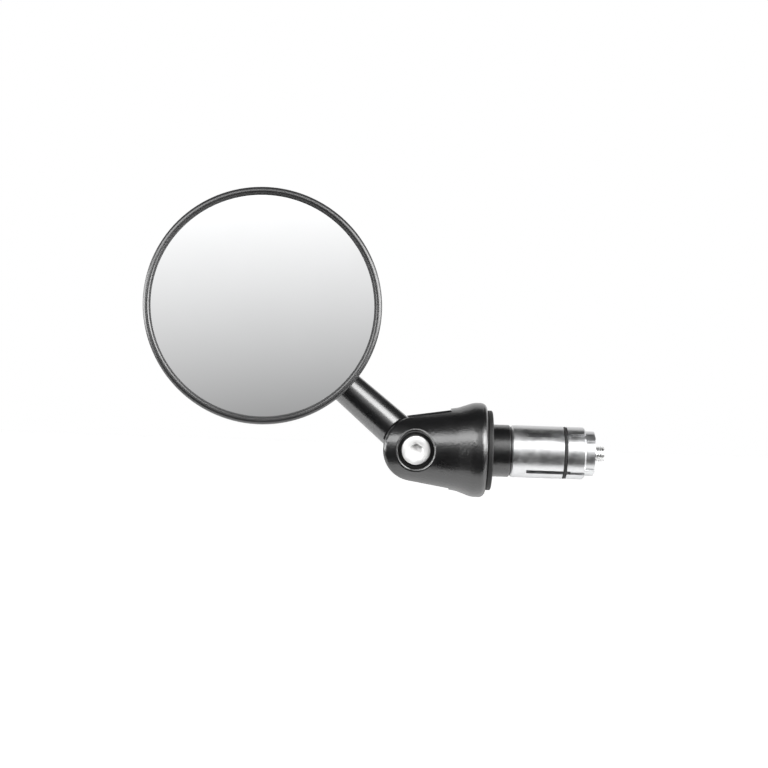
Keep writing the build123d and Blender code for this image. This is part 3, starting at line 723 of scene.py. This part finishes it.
# Angle about the bar's axis in degrees, from the front (0) over the top (90), and brightness.
STUDIO = (
    (-180.0, 0.95), (-100.0, 0.95), (-85.0, 0.03), (0.0, 0.04), (1.5, 0.235), (25.0, 1.245), (47.0, 1.245),
    (52.0, 0.02), (125.0, 0.02), (130.0, 0.95), (180.0, 0.95),
)
STUDIO_UP = (-0.15, 0.0, 0.989)  # the studio leans a little to the left
STUDIO_DARK = 0.03  # brightness of the dark corner and wing


def studio_world():
    """A pale studio by the angle about the bar's axis, from the front over the top to the back.

    The wall in front brightens upwards to the softboxes, the ceiling and the floor in front are dark,
    and the backdrop is white. The ceiling's dark reaches further down on the right,
    and the wall is dark on the left.
    """
    world = bpy.data.worlds.new("studio")
    bpy.context.scene.world = world
    tree = empty_tree(world)
    output = tree.nodes.new("ShaderNodeOutputWorld")
    direction = tree.nodes.new("ShaderNodeTexCoord").outputs["Generated"]
    lift = vector_math(tree, "DOT_PRODUCT", direction, STUDIO_UP)
    towards = vector_math(tree, "DOT_PRODUCT", direction, (0.0, -1.0, 0.0))
    sides = vector_math(tree, "DOT_PRODUCT", direction, (1.0, 0.0, 0.0))
    angle = number_math(tree, "ARCTAN2", lift, towards)
    share = spread(tree, angle, 0.0, 1.0, radians(-180.0), radians(180.0))
    peak = max(grey for _, grey in STUDIO)
    shade = grey_ramp(tree, share, [((place + 180.0) / 360.0, grey / peak) for place, grey in STUDIO])
    right = spread(tree, sides, 0.0, 1.0, 0.25, 0.45)
    high = spread(tree, lift, 0.0, 1.0, 0.25, 0.4)
    corner = number_math(tree, "MULTIPLY", right, high)
    left = spread(tree, sides, 1.0, 0.0, -0.22, -0.04)
    front = spread(tree, towards, 0.0, 0.7, 0.3, 0.6)
    wing = number_math(tree, "MULTIPLY", left, front)
    dark = number_math(tree, "MAXIMUM", corner, wing)
    studio = tree.nodes.new("ShaderNodeBackground")
    tree.links.new(shade, studio.inputs["Color"])
    tree.links.new(spread(tree, dark, peak, STUDIO_DARK, 0.0, 1.0), studio.inputs["Strength"])
    white = add_node(tree, "ShaderNodeBackground", sockets={"Color": (1, 1, 1, 1), "Strength": 1.0})
    seen = tree.nodes.new("ShaderNodeMixShader")
    tree.links.new(seen_rays(tree), seen.inputs["Fac"])
    tree.links.new(studio.outputs["Background"], seen.inputs[1])
    tree.links.new(white.outputs["Background"], seen.inputs[2])
    tree.links.new(seen.outputs["Shader"], output.inputs["Surface"])


# Name, turn to the right and lift in degrees, width and height in metres, power in watts.
LAMPS = (
    ("left_softbox", -31.0, 34.0, 1.0, 0.54, 8.8),
    ("right_softbox", 41.0, 32.0, 0.85, 0.6, 9.6),
    ("right_panel", 65.0, 16.0, 1.4, 0.7, 22.0),
    ("left_panel", -75.0, 8.0, 1.2, 0.6, 17.0),
)
LAMP_TARGET = Vector((-0.04, 0.0, 0.02))
FLOOR_REACH = 4.0
FLOOR_FRONT = -0.25


def view_direction(turn, lift):
    """Direction from a place in front, turned to the right and lifted, back to the part."""
    return Vector((-sin(turn) * cos(lift), cos(turn) * cos(lift), -sin(lift)))


def look_along(direction, up=(0, 0, 1)):
    """Rotation of a lamp or camera that looks along a direction."""
    back = -Vector(direction).normalized()
    right = Vector(up).cross(back).normalized()
    return Matrix((right, back.cross(right), back)).transposed().to_4x4()


def area_lamp(name, place, target, width, height, power):
    """A rectangular lamp that looks at a point."""
    lamp = bpy.data.lights.new(name, "AREA")
    lamp.shape = "RECTANGLE"
    lamp.size = width
    lamp.size_y = height
    lamp.energy = power
    holder = bpy.data.objects.new(name, lamp)
    holder.matrix_world = Matrix.Translation(place) @ look_along(target - place)
    bpy.context.scene.collection.objects.link(holder)


class BARMIRROR_OT_stage(Operator):
    """Lay the pale floor, set the studio light and place the camera"""

    bl_idname = "barmirror.stage"
    bl_label = "Stage"

    def execute(self, context):
        scene = context.scene
        stage = scene.barmirror_stage
        scene.view_settings.view_transform = "Standard"
        drop = -stage.floor_drop
        corners = [
            (-FLOOR_REACH, FLOOR_FRONT, drop), (FLOOR_REACH, FLOOR_FRONT, drop),
            (FLOOR_REACH, FLOOR_REACH, drop), (-FLOOR_REACH, FLOOR_REACH, drop),
        ]
        stage_surface("floor", corners, floor_material(stage.floor_colour))
        studio_world()
        for name, turn, lift, width, height, power in LAMPS:
            place = LAMP_TARGET - stage.lamp_distance * view_direction(radians(turn), radians(lift))
            area_lamp(name, place, LAMP_TARGET, width, height, power * stage.lamp_share)
        lens = bpy.data.cameras.new("camera")
        lens.angle = 2 * stage.half_view
        lens.clip_start = 0.01
        camera = bpy.data.objects.new("camera", lens)
        forward = view_direction(-stage.camera_yaw, -stage.camera_pitch)
        roll = Matrix.Rotation(stage.camera_roll, 4, "Z")
        camera.matrix_world = Matrix.Translation(stage.camera_place) @ look_along(forward) @ roll
        scene.collection.objects.link(camera)
        scene.camera = camera
        return {"FINISHED"}


STEPS = (
    BARMIRROR_OT_bar_end,
    BARMIRROR_OT_stem,
    BARMIRROR_OT_head,
    BARMIRROR_OT_glass,
    BARMIRROR_OT_pivot,
    BARMIRROR_OT_plug,
    BARMIRROR_OT_stage,
)


class BARMIRROR_PT_sidebar(Panel):
    """Steps and settings of the bar end mirror"""

    bl_idname = "BARMIRROR_PT_sidebar"
    bl_label = "Bar End Mirror"
    bl_space_type = "VIEW_3D"
    bl_region_type = "UI"
    bl_category = "Bar End Mirror"

    def draw(self, context):
        for step in STEPS:
            self.layout.operator(step.bl_idname)
        for group in (getattr(context.scene, key) for key in GROUPS):
            box = self.layout.box()
            for key in group.bl_rna.properties.keys():
                if key not in ("rna_type", "name"):
                    box.prop(group, key)


GROUPS = {
    "barmirror_finish": BARMIRROR_PG_finish,
    "barmirror_screws": BARMIRROR_PG_screws,
    "barmirror_stage": BARMIRROR_PG_stage,
}
CLASSES = (*GROUPS.values(), *STEPS, BARMIRROR_PT_sidebar)


def register():
    """Register the classes and hang the settings on the scene."""
    for entry in CLASSES:
        bpy.utils.register_class(entry)
    for key, group in GROUPS.items():
        setattr(bpy.types.Scene, key, PointerProperty(type=group))


def unregister():
    """Take the settings and the classes away again."""
    for key in GROUPS:
        delattr(bpy.types.Scene, key)
    for entry in reversed(CLASSES):
        bpy.utils.unregister_class(entry)


def main():
    """Make every piece in order."""
    register()
    bpy.ops.barmirror.bar_end()
    bpy.ops.barmirror.stem()
    bpy.ops.barmirror.head()
    bpy.ops.barmirror.glass()
    bpy.ops.barmirror.pivot()
    bpy.ops.barmirror.plug()
    bpy.ops.barmirror.stage()


if __name__ == "__main__":
    main()
